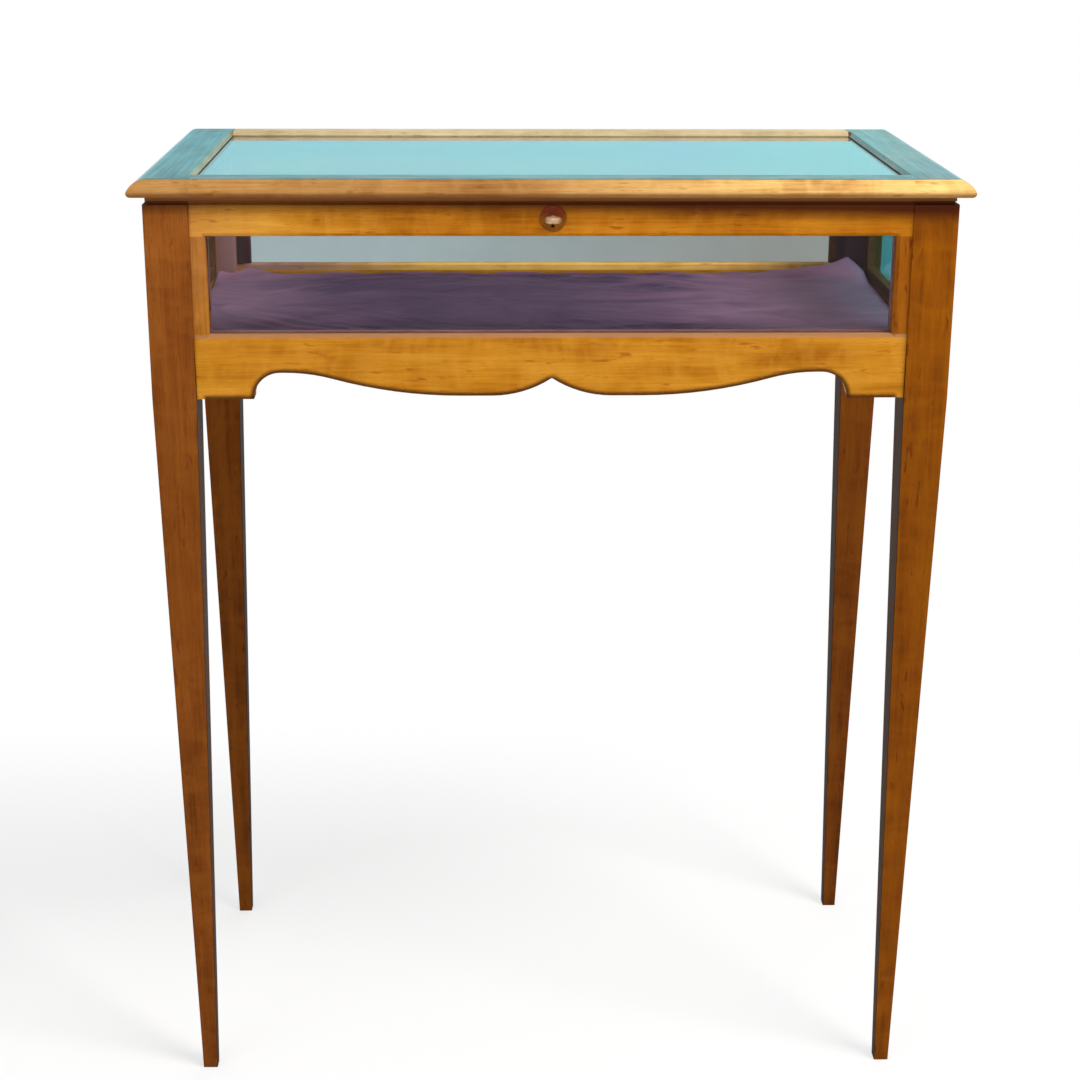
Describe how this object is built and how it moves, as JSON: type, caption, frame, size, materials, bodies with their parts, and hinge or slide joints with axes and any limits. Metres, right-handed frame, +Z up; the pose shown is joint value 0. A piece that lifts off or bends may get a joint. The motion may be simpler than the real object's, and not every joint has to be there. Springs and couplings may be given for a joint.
{
  "type": "collectors display table",
  "caption": "Glazed display case on tapered legs, with a hinged glass lid, shaped aprons, a velvet floor and a lock with its key.",
  "frame": {"origin": "on the floor under the middle of the table", "axes": "+X to the right, the front with the lock faces -Y, +Z up"},
  "size_m": [0.632, 0.3372, 0.76],
  "materials": {
    "leg_wood": "french polished mahogany, reddish brown",
    "rail_wood": "french polished mahogany, honey brown",
    "stile_wood": "french polished mahogany, honey brown",
    "apron_wood": "french polished satinwood coloured mahogany, golden",
    "lid_wood": "french polished mahogany, worn along the moulding",
    "bead_wood": "polished, thin beads",
    "inner_wood": "plain sawn and planed, unpolished",
    "glass": "clear old sheet glass",
    "velvet": "mauve velvet, laid loose",
    "brass": "aged brass",
    "dark_brass": "dark patinated brass",
    "lock_steel": "plain steel",
    "screw_steel": "plain steel",
    "key_metal": "polished nickel, worn"
  },
  "bodies": {
    "case": {"apron_back": "apron_wood", "apron_front": "apron_wood", "apron_left": "apron_wood", "apron_right": "apron_wood", "baseboard": "inner_wood", "baseboard_screws": "screw_steel", "beads_back": "bead_wood", "beads_front": "bead_wood", "beads_left": "bead_wood", "beads_right": "bead_wood", "cleat_back": "inner_wood", "cleat_front": "inner_wood", "cleat_left": "inner_wood", "cleat_right": "inner_wood", "escutcheon": "dark_brass", "escutcheon_pins": "dark_brass", "glass_back": "glass", "glass_front": "glass", "glass_left": "glass", "glass_right": "glass", "hinge_case_leaf_left": "brass", "hinge_case_leaf_right": "brass", "hinge_case_screws": "brass", "hinge_pin_left": "brass", "hinge_pin_right": "brass", "leg_back_left": "leg_wood", "leg_back_right": "leg_wood", "leg_front_left": "leg_wood", "leg_front_right": "leg_wood", "lock_case": "lock_steel", "lock_drill_pin": "lock_steel", "lock_plate": "brass", "lock_screws": "brass", "stile_back_left": "stile_wood", "stile_back_right": "stile_wood", "stile_front_left": "stile_wood", "stile_front_right": "stile_wood", "stile_left_back": "stile_wood", "stile_left_front": "stile_wood", "stile_right_back": "stile_wood", "stile_right_front": "stile_wood", "top_rail_back": "rail_wood", "top_rail_front": "rail_wood", "top_rail_left": "rail_wood", "top_rail_right": "rail_wood", "velvet_lining": "velvet"},
    "lid": {"hinge_lid_leaf_left": "brass", "hinge_lid_leaf_right": "brass", "hinge_lid_screws": "brass", "lid_beads": "bead_wood", "lid_glass": "glass", "lid_rail_back": "lid_wood", "lid_rail_front": "lid_wood", "lid_stile_left": "lid_wood", "lid_stile_right": "lid_wood", "link_plate": "brass", "link_screws": "brass"},
    "key": {"key": "key_metal"},
    "bolt": {"lock_bolt": "lock_steel"}
  },
  "joints": [
    {"name": "lid_hinge", "type": "hinge", "parent": "case", "child": "lid", "pos_m": [0, 0.16, 0.7454], "axis": [-1, 0, 0], "range_deg": [0, 112]},
    {"name": "key_turn", "type": "hinge", "parent": "case", "child": "key", "pos_m": [0, -0.16, 0.7303], "axis": [0, 1, 0], "range_deg": [0, 180]},
    {"name": "bolt_throw", "type": "slide", "parent": "case", "child": "bolt", "axis": [1, 0, 0], "range_m": [0, 0.006]}
  ],
  "couplings": [
    {"joint": "key_turn", "follows": "bolt_throw", "rad_per_m": 523.6}
  ]
}
